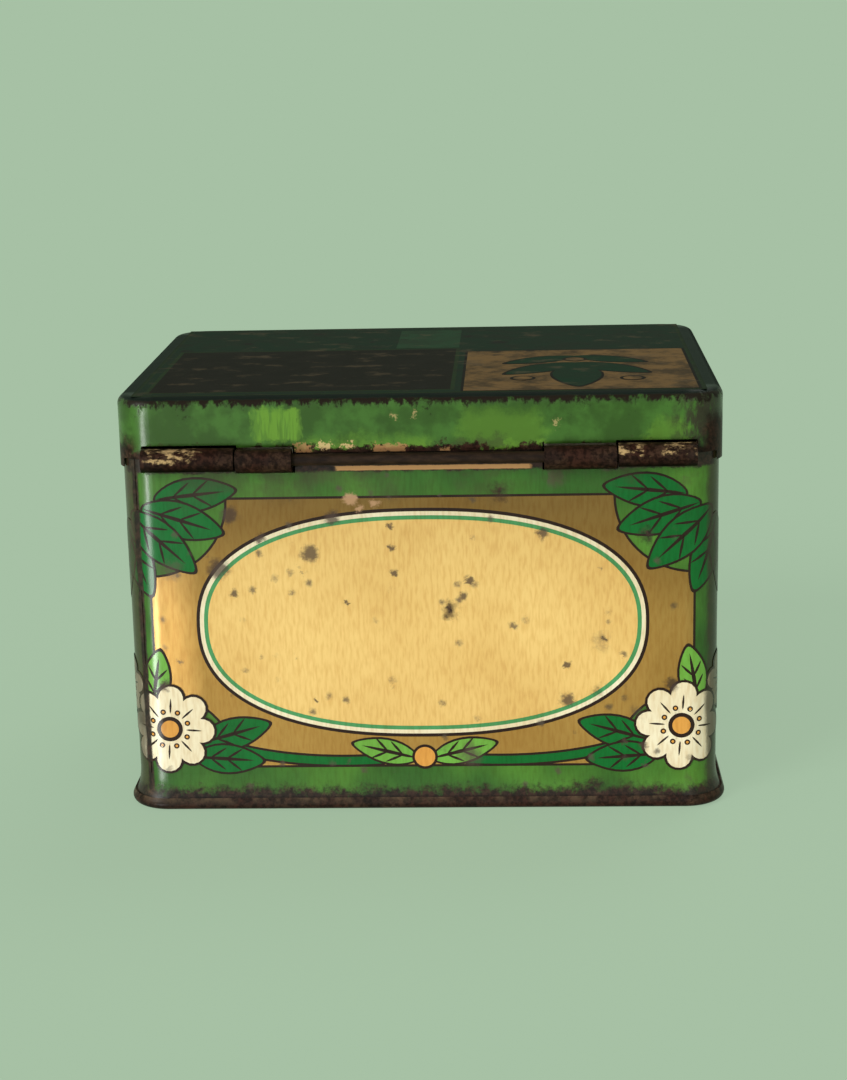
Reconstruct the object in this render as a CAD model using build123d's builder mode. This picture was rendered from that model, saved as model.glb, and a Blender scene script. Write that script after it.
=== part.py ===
from build123d import *
import math
import os

# Small tinplate counter tin with a lid hinged on a wire along its back.
# Millimetres. X runs along the hinge, the front faces -Y and the hinge lies at +Y.
# The origin is the centre of the footprint, hinge bead included, on the resting plane.

# Sheet and overall sizes
SHEET = 0.28                 # tinplate thickness
BODY_WIDTH = 86.1            # outside the walls, along X
BODY_DEPTH = 63.1            # outside the walls, along Y
BODY_CORNER = 4.8            # outside radius of the upright corners
HEIGHT = 62.0                # table to the top of the closed lid

# Lid
SKIRT_GAP = 0.17             # between the body's wall and the lid's skirt
LID_EDGE_RADIUS = 1.4        # rounding between the lid's top and its skirt
SKIRT_DEPTH = 10.3           # from the lid's top to the skirt's edge at the front and sides
CURL_SKIRT_GAP = 0.2         # above the body's hinge curls
CENTRE_SKIRT_RISE = 0.8      # skirt edge above the hinge line, where the wire shows
CORNER_RELIEF = 1.0          # how near to the lid's side the cut along its back runs
CUT_FILLET = 0.35            # in the corners of that cut

# Mouth of the body
NECK_DROP = 7.5              # from the lid's top to where the wall starts to draw in
NECK_HEIGHT = 1.5
NECK_DEPTH = 0.35            # how far the wall draws in
RIM_RADIUS = 0.9             # outside radius of the curl round the mouth
RIM_TURN = 240.0             # degrees that the curl turns through
RIM_GAP = 0.1                # between the curl and the closed lid

# Foot: the base is rolled over the flared edge of the body
SEAM_RADIUS = 0.9            # outside radius of the rolled seam
SEAM_REACH = 1.35            # seam beyond the body's wall
SEAM_GAP = 0.02              # between the flare and the hem rolled over it
HEM_LENGTH = 0.6             # straight end of the base, laid on the flare
FLARE_SLOPE = 26.0           # degrees from upright
FLARE_FLAT = 0.2             # straight stretch of the flare under the hem
FLARE_TUCK = 0.1             # flare that reaches down inside the roll
REST_WIDTH = 1.0             # flat ring that the tin stands on, inside the wall line
PANEL_BEND = 1.0             # radius of both bends up to the raised floor
PANEL_ANGLE = 60.0           # degrees that each bend turns through
PANEL_OVERLAP = 0.3          # the flat floor sheet runs into the swept edge

# Hinge
HINGE_DROP = 8.9             # from the lid's top to the middle of the wire
WIRE_RADIUS = 0.815          # 16 gauge wire
WIRE_GAP = 0.065             # running clearance round the wire
ROLL_GAP = 0.14              # between two turns of a rolled sheet
CURL_END = 39.4              # outer end of the body's curls, from the middle
WIRE_INSET = 0.2             # wire end inside the outer end of a curl
WIRE_CHAMFER = 0.15          # on the cut ends of the wire
LUG_START = 17.9             # inner end of the lid's lugs, from the middle
RIGHT_LUG_WIDTH = 8.0        # the lug at +X
LEFT_LUG_WIDTH = 10.2        # the lug at -X
LUG_SIDE_GAP = 0.25          # between a lug and what stands beside it
LUG_SLOT_DROP = 0.45         # slot in the wall below the rolled lug
JOGGLE_RADIUS = 0.6          # two bends that bring a lug into the wall's plane

# Side seam in a back corner
SIDE_SEAM_ANGLE = 32.0       # from the back, round the corner
SEAM_GROOVE = 0.25           # width of the outside groove
SEAM_GROOVE_DEPTH = 0.1
SEAM_FOLD_ANGLE = 34.0       # sweep of the folded strip inside
SEAM_FOLD_THICKNESS = 0.35
SEAM_END_GAP = 1.0           # strip stops short of the flare and of the neck

# Rolls: four half turns that tighten by half a layer each
layer = SHEET + ROLL_GAP
last_turn = WIRE_RADIUS + WIRE_GAP + SHEET / 2
turn_radii = [last_turn + layer / 2 * step for step in (3, 2, 1, 0)]

# Depths measured from the body's own middle, then the shift that centres the footprint
wall_line = BODY_DEPTH / 2 - SHEET / 2
hinge_offset = wall_line + 2 * turn_radii[0] - turn_radii[1]
bead_reach = wall_line + 2 * turn_radii[0] + SHEET / 2
CENTRE_Y = (BODY_DEPTH / 2 + SEAM_REACH - bead_reach) / 2
hinge_y = CENTRE_Y + hinge_offset
wall_y = CENTRE_Y + wall_line
skirt_y = wall_y + SHEET + SKIRT_GAP

lid_growth = SKIRT_GAP + SHEET
LID_WIDTH = BODY_WIDTH + 2 * lid_growth
LID_DEPTH = BODY_DEPTH + 2 * lid_growth
LID_CORNER = BODY_CORNER + lid_growth
rim_top = HEIGHT - SHEET - RIM_GAP
neck_z = HEIGHT - NECK_DROP
skirt_edge_z = HEIGHT - SKIRT_DEPTH
hinge_z = HEIGHT - HINGE_DROP
slot_z = hinge_z - turn_radii[0] - SHEET / 2 - LUG_SLOT_DROP
curl_skirt_z = hinge_z + turn_radii[0] + SHEET / 2 + CURL_SKIRT_GAP
UP = Vector(0, 0, 1)


def level(height):
    """Horizontal plane at this height, centred on the body."""
    return Plane((0, CENTRE_Y, height))


def section_plane(path):
    """Plane across the start of a path: local x points out of the tin, local y up."""
    along = path % 0
    return Plane(origin=path @ 0, x_dir=along.cross(UP), z_dir=-along)


def lug_end(side):
    """Distance from the middle to the outer end of the lug on this side."""
    return LUG_START + (RIGHT_LUG_WIDTH if side > 0 else LEFT_LUG_WIDTH)


def across(side, near, far):
    """Plane at the end of a span that has the lower X, for an extrusion along +X."""
    return Plane.YZ.offset(near if side > 0 else -far)


def round_corner(angle):
    """Direction out of the right back corner, turned this far from the back towards the side."""
    return Vector(math.sin(math.radians(angle)), math.cos(math.radians(angle)), 0)


# Path round the outer face of the body's wall, and the planes that the back is cut on
with BuildSketch(level(0)) as footprint:
    RectangleRounded(BODY_WIDTH, BODY_DEPTH, BODY_CORNER)
wall_path = footprint.sketch.face().outer_wire()
back = Plane.XZ.offset(-CENTRE_Y)
corner_axis = Axis(
    (BODY_WIDTH / 2 - BODY_CORNER, CENTRE_Y + BODY_DEPTH / 2 - BODY_CORNER, 0),
    (0, 0, 1),
)

# Seam: centre of the roll, then the flare that it grips
slope = math.radians(FLARE_SLOPE)
roll_n = SEAM_REACH - SEAM_RADIUS
grip = SEAM_RADIUS - SHEET - SEAM_GAP - SHEET / 2
grip_n = roll_n + grip * math.cos(slope)
grip_z = SEAM_RADIUS + grip * math.sin(slope)
flat_n = grip_n - FLARE_FLAT * math.sin(slope)
flat_z = grip_z + FLARE_FLAT * math.cos(slope)
flare_radius = (flat_n + SHEET / 2) / (1 - math.cos(slope))
flare_top = flat_z + flare_radius * math.sin(slope)

# Body: one strip bent round, flared at the foot, drawn in and curled at the mouth
with BuildPart() as body:
    with BuildSketch(section_plane(wall_path)):
        with BuildLine():
            foot = Line(
                (grip_n + FLARE_TUCK * math.sin(slope), grip_z - FLARE_TUCK * math.cos(slope)),
                (flat_n, flat_z),
            )
            flare = JernArc(foot @ 1, foot % 1, flare_radius, -FLARE_SLOPE)
            wall = Line(flare @ 1, (-SHEET / 2, neck_z))
            neck = Line(wall @ 1, (-SHEET / 2 - NECK_DEPTH, neck_z + NECK_HEIGHT))
            mouth = Line(neck @ 1, ((neck @ 1).X, rim_top - RIM_RADIUS))
            JernArc(mouth @ 1, mouth % 1, RIM_RADIUS - SHEET / 2, RIM_TURN)
        trace(line_width=SHEET)
    sweep(path=wall_path)

    # Back wall cut away where it is rolled outwards, and slotted for the lid's lugs
    for side in (1, -1):
        slot_in = side * (LUG_START - LUG_SIDE_GAP)
        slot_out = side * (lug_end(side) + LUG_SIDE_GAP)
        with BuildSketch(back):
            with BuildLine():
                Polyline(
                    (slot_in, HEIGHT),
                    (slot_in, slot_z),
                    (slot_out, slot_z),
                    (slot_out, hinge_z),
                    (side * CURL_END, hinge_z),
                    (side * CURL_END, HEIGHT),
                    close=True,
                )
            make_face()
        extrude(amount=-BODY_DEPTH, mode=Mode.SUBTRACT)
        curl_in = lug_end(side) + LUG_SIDE_GAP
        with BuildSketch(across(side, curl_in, CURL_END)):
            with BuildLine():
                leaf = Line((wall_y, hinge_z - SHEET), (wall_y, hinge_z))
                turn = JernArc(leaf @ 1, leaf % 1, turn_radii[0], -180)
                for radius in turn_radii[1:]:
                    turn = JernArc(turn @ 1, turn % 1, radius, -180)
            trace(line_width=SHEET)
        extrude(amount=CURL_END - curl_in)

    # Side seam round the right back corner: a groove outside, the folded strip inside
    groove = Plane(corner_axis.position, x_dir=round_corner(SIDE_SEAM_ANGLE), z_dir=UP)
    with BuildSketch(groove.offset(flare_top)):
        with Locations((BODY_CORNER, 0)):
            Rectangle(2 * SEAM_GROOVE_DEPTH, SEAM_GROOVE)
    extrude(amount=hinge_z - flare_top, mode=Mode.SUBTRACT)
    fold_side = round_corner(SIDE_SEAM_ANGLE + SEAM_FOLD_ANGLE / 2)
    strip_depth = SEAM_FOLD_THICKNESS + SHEET / 2
    with BuildSketch(Plane(corner_axis.position, x_dir=fold_side, z_dir=fold_side.cross(UP))):
        with Locations((BODY_CORNER - SHEET / 2 - strip_depth / 2, (flare_top + neck_z) / 2)):
            Rectangle(strip_depth, neck_z - flare_top - 2 * SEAM_END_GAP)
    revolve(axis=corner_axis, revolution_arc=SEAM_FOLD_ANGLE)
body.part.label = "body"

# Base: a tray whose edge is rolled round the flare, with its floor raised off the table
panel_turn = math.radians(PANEL_ANGLE)
panel_z = SHEET / 2 + 2 * PANEL_BEND * (1 - math.cos(panel_turn))
panel_n = -REST_WIDTH - 2 * PANEL_BEND * math.sin(panel_turn)
with BuildPart() as base_panel:
    with BuildSketch(section_plane(wall_path)):
        with BuildLine():
            floor = Line((panel_n - PANEL_OVERLAP, panel_z), (panel_n, panel_z))
            bend_down = JernArc(floor @ 1, floor % 1, PANEL_BEND, -PANEL_ANGLE)
            bend_out = JernArc(bend_down @ 1, bend_down % 1, PANEL_BEND, PANEL_ANGLE)
            rest = Line(bend_out @ 1, (roll_n, SHEET / 2))
            roll = JernArc(rest @ 1, rest % 1, SEAM_RADIUS - SHEET / 2, 90 + FLARE_SLOPE)
            Line(roll @ 1, roll @ 1 + (roll % 1) * HEM_LENGTH)
        trace(line_width=SHEET)
    sweep(path=wall_path)
    with BuildSketch(level(panel_z - SHEET / 2)):
        RectangleRounded(
            BODY_WIDTH + 2 * panel_n - PANEL_OVERLAP,
            BODY_DEPTH + 2 * panel_n - PANEL_OVERLAP,
            BODY_CORNER + panel_n - PANEL_OVERLAP / 2,
        )
    extrude(amount=SHEET)
base_panel.part.label = "base_panel"

# Lid: a drawn shell, its back skirt cut to clear the hinge, with two lugs rolled on the wire
joggle_step = skirt_y - wall_y
joggle_turn = math.degrees(math.acos(1 - joggle_step / (2 * JOGGLE_RADIUS)))
joggle_height = 2 * JOGGLE_RADIUS * math.sin(math.radians(joggle_turn))
skirt_cut_x = LID_WIDTH / 2 - CORNER_RELIEF
with BuildPart() as lid:
    with BuildSketch(level(skirt_edge_z)):
        RectangleRounded(LID_WIDTH, LID_DEPTH, LID_CORNER)
    extrude(amount=HEIGHT - skirt_edge_z)
    fillet(lid.faces().sort_by(Axis.Z)[-1].edges(), LID_EDGE_RADIUS)
    offset(amount=-SHEET, openings=lid.faces().sort_by(Axis.Z)[0])
    with BuildSketch(back):
        with BuildLine():
            half_cut = [
                (LUG_START - LUG_SIDE_GAP, hinge_z + CENTRE_SKIRT_RISE),
                (LUG_START - LUG_SIDE_GAP, curl_skirt_z),
                (CURL_END + LUG_SIDE_GAP, curl_skirt_z),
                (CURL_END + LUG_SIDE_GAP, hinge_z),
                (skirt_cut_x, hinge_z),
                (skirt_cut_x, skirt_edge_z - SKIRT_GAP),
            ]
            mirrored = [(-x, z) for x, z in reversed(half_cut)]
            Polyline(mirrored + half_cut, close=True)
        make_face()
        # The two lowest corners lie below the skirt, so they stay sharp
        fillet(vertices().sort_by(Axis.Y)[2:], CUT_FILLET)
    extrude(amount=-LID_DEPTH, mode=Mode.SUBTRACT)
    for side in (1, -1):
        with BuildSketch(across(side, LUG_START, lug_end(side))):
            with BuildLine():
                root = Line((skirt_y, curl_skirt_z + CUT_FILLET), (skirt_y, curl_skirt_z))
                bend_in = JernArc(root @ 1, root % 1, JOGGLE_RADIUS, -joggle_turn)
                bend_back = JernArc(bend_in @ 1, bend_in % 1, JOGGLE_RADIUS, joggle_turn)
                turn = Line(bend_back @ 1, (wall_y, hinge_z))
                for radius in turn_radii:
                    turn = JernArc(turn @ 1, turn % 1, radius, 180)
            trace(line_width=SHEET)
        extrude(amount=lug_end(side) - LUG_START)
lid.part.label = "lid"

# Hinge wire: one straight length through all four rolls, bare between the lugs
wire_half = CURL_END - WIRE_INSET
with BuildPart() as hinge_wire:
    with BuildSketch(Plane.YZ.offset(-wire_half)):
        with Locations((hinge_y, hinge_z)):
            Circle(WIRE_RADIUS)
    extrude(amount=2 * wire_half)
    chamfer(hinge_wire.edges(), WIRE_CHAMFER)
hinge_wire.part.label = "hinge_wire"

os.makedirs("parts", exist_ok=True)
export_step(body.part, "parts/body.step")
export_step(base_panel.part, "parts/base_panel.step")
export_step(lid.part, "parts/lid.step")
export_step(hinge_wire.part, "parts/hinge_wire.step")
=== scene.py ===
import math

import bpy
from mathutils import Matrix, Vector


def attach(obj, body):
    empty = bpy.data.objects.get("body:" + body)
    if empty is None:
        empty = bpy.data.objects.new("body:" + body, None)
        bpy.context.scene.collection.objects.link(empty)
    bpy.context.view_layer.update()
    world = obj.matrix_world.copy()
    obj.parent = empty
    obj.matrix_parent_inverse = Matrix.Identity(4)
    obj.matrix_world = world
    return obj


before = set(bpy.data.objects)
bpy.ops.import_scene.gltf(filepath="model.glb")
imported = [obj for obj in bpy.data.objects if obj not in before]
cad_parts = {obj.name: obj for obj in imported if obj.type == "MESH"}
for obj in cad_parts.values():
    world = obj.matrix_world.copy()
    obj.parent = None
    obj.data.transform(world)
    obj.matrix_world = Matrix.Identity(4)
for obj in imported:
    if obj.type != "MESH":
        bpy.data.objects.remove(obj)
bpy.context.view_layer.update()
bpy.ops.object.select_all(action="DESELECT")


# Body: one strip of tinplate, printed flat on its outer face, bent round and seamed near a back corner.
# The sheet stays bare inside. Outside the print has worn brown along the hinge, the seam and the foot.
MM = 0.001
WALL_HALF_X = 43.05 * MM
WALL_HALF_Y = 31.55 * MM
WALL_CENTRE_Y = -0.975 * MM
WALL_CORNER = 4.8 * MM
SEAM_X = 40.9 * MM
MID_GREEN = (46, 88, 30)
FRESH_GREEN = (76, 126, 42)
BROWN_DARK = (36, 22, 17)
BROWN_PALE = (72, 52, 38)
CREAM_CHIP = (196, 164, 114)
TAN_CHIP = (188, 138, 88)
BROWN_RED = (50, 28, 20)
BACK_MARKS = (
    (16.0, 38.9, 1.7), (4.0, 35.8, 0.8), (4.4, 42.8, 0.7), (4.1, 39.7, 0.6), (-6.8, 34.7, 0.8), (-6.1, 32.2, 0.9),
    (27.1, 33.0, 0.9), (-21.0, 16.4, 1.4), (-20.9, 21.7, 0.7), (-26.3, 25.7, 0.6), (15.7, 16.7, 0.5), (10.9, 31.6, 0.5),
    (29.3, 36.8, 2.0), (27.5, 44.8, 1.7), (-36.2, 18.5, 1.4), (-32.1, 9.3, 1.0), (-29.1, 10.0, 0.6), (38.0, 19.2, 1.2),
    (12.6, 44.2, 1.4), (23.1, 41.3, 1.0), (-17.7, 41.5, 1.2))
BACK_SCABS = ((9.9, 47.0, 1.2), (8.6, 45.5, 0.9), (6.4, 46.2, 0.9))
TIN_BARE = (176, 168, 150)
TIN_STAIN = (112, 88, 62)
TIN_METAL = 0.85
RUST_GRAIN = (150, 140, 130)
SHEET_TONE = (222, 206, 178)
SHEET_GRAIN = (224, 204, 176)
SMUDGE = (76, 64, 54)
HINGE_GRIME = (60, 48, 34)
# Painted shade past the upright back corners, in two mottled tones.
END_SHADE_DARK = (34, 32, 20)
END_SHADE_PALE = (68, 54, 40)
MARK_BROWN = (66, 50, 42)
SCAB_TAN = (176, 136, 104)
ROLL_SHADE = (120, 104, 96)
PRINT_ROUGH = 0.24
PLAIN_SHINE = 0.2


def shade(red, green, blue):
    """A colour as it looks on screen, 0 to 255, turned into the linear light that a shader works in."""
    steps = [value / 255 for value in (red, green, blue)]
    return (*[s / 12.92 if s <= 0.04045 else ((s + 0.055) / 1.055) ** 2.4 for s in steps], 1.0)


def lead(finish, value, socket):
    """Leads another node's output to a socket, or sets the socket to a plain value."""
    if isinstance(value, bpy.types.NodeSocket):
        finish.node_tree.links.new(value, socket)
    else:
        socket.default_value = value


def node(finish, kind, inputs=None, **settings):
    """Adds a node to a finish, with its inputs by name."""
    made = finish.node_tree.nodes.new("ShaderNode" + kind)
    for name, value in settings.items():
        setattr(made, name, value)
    for name, value in (inputs or {}).items():
        lead(finish, value, made.inputs[name])
    return made


def new_finish(name):
    """An empty material with its one shader, which the finish's nodes are led to."""
    finish = bpy.data.materials.new(name)
    finish.use_nodes = True
    return finish


def place(finish, stretch=(1, 1, 1), shift=(0, 0, 0)):
    """Where the surface lies on the tin, in metres, with its pattern stretched or shifted."""
    here = node(finish, "TexCoord").outputs["Object"]
    squeeze = [1 / value for value in stretch]
    return node(finish, "Mapping", {"Vector": here, "Location": shift, "Scale": squeeze}).outputs["Vector"]


def mottle(finish, size, detail=3.0, roughness=0.6, stretch=(1, 1, 1), shift=(0, 0, 0)):
    """Soft blotches about this size across."""
    spots = {"Vector": place(finish, stretch, shift), "Scale": 1 / size, "Detail": detail, "Roughness": roughness}
    return node(finish, "TexNoise", spots).outputs["Fac"]


def rise(finish, value, low, high):
    """0 below the low value and 1 above the high one, or the other way round, with a soft change between."""
    span = {"Value": value, "From Min": low, "From Max": high}
    return node(finish, "MapRange", span, interpolation_type="SMOOTHSTEP").outputs["Result"]


def reckon(finish, operation, first, second=0.0):
    """One sum on two values."""
    made = node(finish, "Math", operation=operation)
    lead(finish, first, made.inputs[0])
    lead(finish, second, made.inputs[1])
    return made.outputs["Value"]


def both(finish, first, *others):
    """Where all the masks are: their product."""
    for other in others:
        first = reckon(finish, "MULTIPLY", first, other)
    return first


def any_of(finish, first, *others):
    """Where any of the masks is: the largest of them."""
    for other in others:
        first = reckon(finish, "MAXIMUM", first, other)
    return first


def over(finish, amount, under, top, blend="MIX"):
    """The top colour laid over the one under it, as thick as the amount. A colour is a socket or 0 to 255."""
    mixed = node(finish, "Mix", data_type="RGBA", blend_type=blend)
    sockets = {socket.identifier: socket for socket in (*mixed.inputs, *mixed.outputs)}
    lead(finish, amount, sockets["Factor_Float"])
    for name, colour in (("A_Color", under), ("B_Color", top)):
        lead(finish, colour if isinstance(colour, bpy.types.NodeSocket) else shade(*colour), sockets[name])
    return sockets["Result_Color"]


def axes(finish):
    """The place on the tin as three separate values."""
    split = node(finish, "SeparateXYZ", {"Vector": place(finish)})
    return split.outputs["X"], split.outputs["Y"], split.outputs["Z"]


def band(finish, value, low, high, soft):
    """1 between the low and the high value, with soft ends."""
    enter = rise(finish, value, low - soft / 2, low + soft / 2)
    leave = rise(finish, value, high + soft / 2, high - soft / 2)
    return both(finish, enter, leave)


def shaken(finish, value, reach, size, stretch=(1, 1, 1)):
    """A place shaken to and fro by half this reach, for a ragged edge."""
    shake = reckon(finish, "SUBTRACT", mottle(finish, size, 6, 0.72, stretch), 0.5)
    return reckon(finish, "ADD", value, reckon(finish, "MULTIPLY", shake, 2 * reach))


def spots(finish, spacing, share, shift):
    """Separate ragged marks, in this share of the cells of a grid with this spacing."""
    fine = {"Vector": place(finish), "Scale": 3.5 / spacing, "Detail": 5.0, "Roughness": 0.75}
    shake = node(finish, "TexNoise", fine)
    spread = node(finish, "VectorMath", operation="MULTIPLY_ADD")
    lead(finish, shake.outputs["Color"], spread.inputs[0])
    lead(finish, [0.55 * spacing] * 3, spread.inputs[1])
    lead(finish, place(finish, shift=shift), spread.inputs[2])
    cell = node(finish, "TexVoronoi", {"Vector": spread.outputs["Vector"], "Scale": 1 / spacing})
    chance = node(finish, "SeparateColor", {"Color": cell.outputs["Color"]})
    chosen = rise(finish, chance.outputs["Red"], 1 - share, 1.01 - share)
    girth = reckon(finish, "MULTIPLY_ADD", chance.outputs["Green"], 0.34)
    lead(finish, 0.10, girth.node.inputs[2])
    near = reckon(finish, "DIVIDE", cell.outputs["Distance"], girth)
    return both(finish, chosen, rise(finish, near, 1.0, 0.15))


def outside_of(finish, half_x, half_y, corner):
    """How far a point lies outside a rounded rectangle round the middle of the body."""
    x, y, _ = axes(finish)
    away_x = reckon(finish, "SUBTRACT", reckon(finish, "ABSOLUTE", x), half_x - corner)
    from_middle = reckon(finish, "ABSOLUTE", reckon(finish, "SUBTRACT", y, WALL_CENTRE_Y))
    away_y = reckon(finish, "SUBTRACT", from_middle, half_y - corner)
    round_x = reckon(finish, "MAXIMUM", away_x, 0.0)
    round_y = reckon(finish, "MAXIMUM", away_y, 0.0)
    square_x = reckon(finish, "MULTIPLY", round_x, round_x)
    square_y = reckon(finish, "MULTIPLY", round_y, round_y)
    bend = reckon(finish, "SQRT", reckon(finish, "ADD", square_x, square_y))
    flat = reckon(finish, "MINIMUM", reckon(finish, "MAXIMUM", away_x, away_y), 0.0)
    return reckon(finish, "SUBTRACT", reckon(finish, "ADD", bend, flat), corner)


def finish_off(finish, colour, rough, height, metal=0.0, depth=0.02 * MM, shine=PLAIN_SHINE):
    """Leads colour, roughness and relief to the shader. Where a varying shine is lost, the plain one is left."""
    shader = finish.node_tree.nodes["Principled BSDF"]
    shader.inputs["Specular IOR Level"].default_value = PLAIN_SHINE
    lead(finish, shine, shader.inputs["Specular IOR Level"])
    lead(finish, colour, shader.inputs["Base Color"])
    lead(finish, rough, shader.inputs["Roughness"])
    lead(finish, metal, shader.inputs["Metallic"])
    relief = node(finish, "Bump", {"Height": height, "Distance": depth, "Strength": 1.0})
    lead(finish, relief.outputs["Normal"], shader.inputs["Normal"])


def brown_rust(finish):
    """Brown of the worn and rusted parts, dark with paler ragged patches."""
    patches = rise(finish, mottle(finish, 2.2 * MM, 5, 0.7), 0.40, 0.75)
    tone = over(finish, patches, BROWN_DARK, BROWN_PALE)
    tone = over(finish, rise(finish, mottle(finish, 5 * MM, 3), 0.42, 0.62), tone, BROWN_RED)
    return over(finish, rise(finish, mottle(finish, 0.7 * MM, 4, 0.7), 0.40, 0.60), tone, RUST_GRAIN, "MULTIPLY")


def back_corner(finish):
    """The rounded corner that holds the side seam."""
    _, y, z = axes(finish)
    return both(finish, rise(finish, y, 26.5 * MM, 27.5 * MM), rise(finish, z, 55.0 * MM, 54.0 * MM))


def body_wear(finish):
    """Where the body's print has gone: near the foot, the hinge and the seam, and in chips elsewhere."""
    x, y, z = axes(finish)
    foot = rise(finish, shaken(finish, z, 2.4 * MM, 1.5 * MM), 3.9 * MM, 2.2 * MM)
    back = rise(finish, y, 28.0 * MM, 29.0 * MM)
    hinge = both(finish, back, rise(finish, shaken(finish, z, 0.9 * MM, 1.2 * MM), 50.7 * MM, 51.2 * MM))
    seam_x = shaken(finish, x, 0.35 * MM, 1.4 * MM, stretch=(1, 1, 2))
    seam = both(finish, back_corner(finish), band(finish, seam_x, SEAM_X - 0.45 * MM, SEAM_X + 0.50 * MM, 0.35 * MM))
    chips = spots(finish, 7.0 * MM, 0.10, (0.016, 0.020, 0.009))
    return any_of(finish, foot, hinge, seam, chips)


def marks(finish, places):
    """Ragged marks on the back, each with its place across and up and its reach, in millimetres."""
    x, y, z = axes(finish)
    shaken_x = shaken(finish, x, 1.5 * MM, 1.2 * MM, (1.4, 1, 1))
    here = node(finish, "CombineXYZ", {"X": shaken_x, "Z": shaken(finish, z, 1.2 * MM, 1.0 * MM)})
    found = []
    for across, up, reach in places:
        apart = node(finish, "VectorMath", operation="DISTANCE")
        lead(finish, here.outputs["Vector"], apart.inputs[0])
        lead(finish, (across * MM, 0, up * MM), apart.inputs[1])
        found.append(rise(finish, apart.outputs["Value"], reach * MM, 0.35 * reach * MM))
    return both(finish, rise(finish, y, 26 * MM, 29 * MM), any_of(finish, *found))


def smooth_corners(finish):
    """The four rounded upright corners, which handling keeps smooth."""
    x, y, _ = axes(finish)
    far_x = reckon(finish, "ABSOLUTE", x)
    from_middle = reckon(finish, "ABSOLUTE", reckon(finish, "SUBTRACT", y, WALL_CENTRE_Y))
    return both(finish, rise(finish, far_x, 37.4 * MM, 39.2 * MM), rise(finish, from_middle, 25.9 * MM, 27.7 * MM))


def flat_faces(finish):
    """How much duller the flat faces are than the corners, and the two ends than the rest."""
    far_x = reckon(finish, "ABSOLUTE", axes(finish)[0])
    more = reckon(finish, "ADD", both(finish, rise(finish, far_x, 42.3 * MM, 42.9 * MM), 0.22), 0.16)
    return both(finish, reckon(finish, "SUBTRACT", 1.0, smooth_corners(finish)), more)


def print_shine(finish):
    """How strongly the print reflects: most at the corners."""
    return reckon(finish, "ADD", both(finish, smooth_corners(finish), 0.2), PLAIN_SHINE)


def aged_print(finish, colour, rough=PRINT_ROUGH, metal=0.0):
    """A printed colour of the body with the sheet's tone, stains, wear, painted shade past the back corners, and relief
    over it.
    """
    x, y, z = axes(finish)
    tone = rise(finish, mottle(finish, 16 * MM, 2, 0.5, shift=(0.005, 0, 0)), 0.3, 0.75)
    colour = over(finish, both(finish, tone, 0.5), colour, SHEET_TONE, "MULTIPLY")
    grain = rise(finish, mottle(finish, 0.45 * MM, 2, 0.5, stretch=(1, 1, 5)), 0.35, 0.75)
    colour = over(finish, both(finish, grain, 0.5), colour, SHEET_GRAIN, "MULTIPLY")
    wide_smudge = spots(finish, 6.2 * MM, 0.30, (0.017, 0.0055, 0.0105))
    small_smudge = spots(finish, 2.4 * MM, 0.18, (0.002, 0.011, 0.004))
    colour = over(finish, both(finish, any_of(finish, wide_smudge, small_smudge), 0.8), colour, SMUDGE)
    near_hinge = rise(finish, shaken(finish, z, 5 * MM, 5 * MM), 44 * MM, 53 * MM)
    grime = both(finish, near_hinge, rise(finish, mottle(finish, 7 * MM, 4), 0.42, 0.62))
    colour = over(finish, both(finish, grime, 0.65), colour, HINGE_GRIME)
    # Painted shade: past the upright back corners, towards the ends turned from the light, the print is darkened to a
    # mottled olive-brown.
    far_x = shaken(finish, reckon(finish, "ABSOLUTE", x), 1.2 * MM, 3 * MM, (1, 1, 3))
    shaded_ends = both(finish, rise(finish, far_x, 40.8 * MM, 41.6 * MM), rise(finish, y, 18 * MM, 27 * MM), 0.82)
    end_shade_mottle = over(finish, mottle(finish, 1.5 * MM, 4, 0.7), END_SHADE_DARK, END_SHADE_PALE)
    colour = over(finish, shaded_ends, colour, end_shade_mottle)
    colour = over(finish, both(finish, marks(finish, BACK_MARKS), 0.85), colour, MARK_BROWN)
    colour = over(finish, both(finish, marks(finish, BACK_SCABS), 0.8), colour, SCAB_TAN)
    worn = body_wear(finish)
    colour = over(finish, worn, colour, brown_rust(finish))
    dull = reckon(finish, "ADD", reckon(finish, "ADD", rough, flat_faces(finish)), both(finish, worn, 0.12))
    relief = reckon(finish, "SUBTRACT", both(finish, mottle(finish, 0.9 * MM, 3), 0.30), worn)
    relief = reckon(finish, "ADD", relief, both(finish, mottle(finish, 4.5 * MM, 2), 3.0))
    if metal:
        bulge = rise(finish, reckon(finish, "ABSOLUTE", x), 42 * MM, 32 * MM)
        relief = reckon(finish, "ADD", relief, both(finish, bulge, 36.0))
    bare = reckon(finish, "SUBTRACT", 1.0, worn)
    return colour, dull, relief, both(finish, bare, metal)


body_finish = new_finish("body green print, worn")
across, back, height_up = axes(body_finish)
outside = outside_of(body_finish, WALL_HALF_X, WALL_HALF_Y, WALL_CORNER)
fresh = rise(body_finish, mottle(body_finish, 15 * MM, 2, 0.5), 0.34, 0.68)
ground, dull, relief, _ = aged_print(body_finish, over(body_finish, fresh, MID_GREEN, FRESH_GREEN))
rubbed = both(
    body_finish, rise(body_finish, back, 29 * MM, 30 * MM),
    band(body_finish, shaken(body_finish, across, 0.6 * MM, 1 * MM), -15.9 * MM, 11.9 * MM, 0.4 * MM),
    band(body_finish, shaken(body_finish, height_up, 0.12 * MM, 1 * MM), 51.1 * MM, 51.75 * MM, 0.15 * MM))
ground = over(body_finish, both(body_finish, rubbed, 0.9), ground, TAN_CHIP)
leaning = reckon(body_finish, "ADD", height_up, reckon(body_finish, "MULTIPLY", across, 0.006))
# Pale cream along the tops of the rolls: worn chips, and in part a painted highlight where the top of the roll catches
# the light.
roll_top = rise(body_finish, shaken(body_finish, leaning, 1.4 * MM, 0.9 * MM), 53.2 * MM, 53.6 * MM)
x_ragged = shaken(body_finish, across, 4 * MM, 1.6 * MM)
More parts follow.
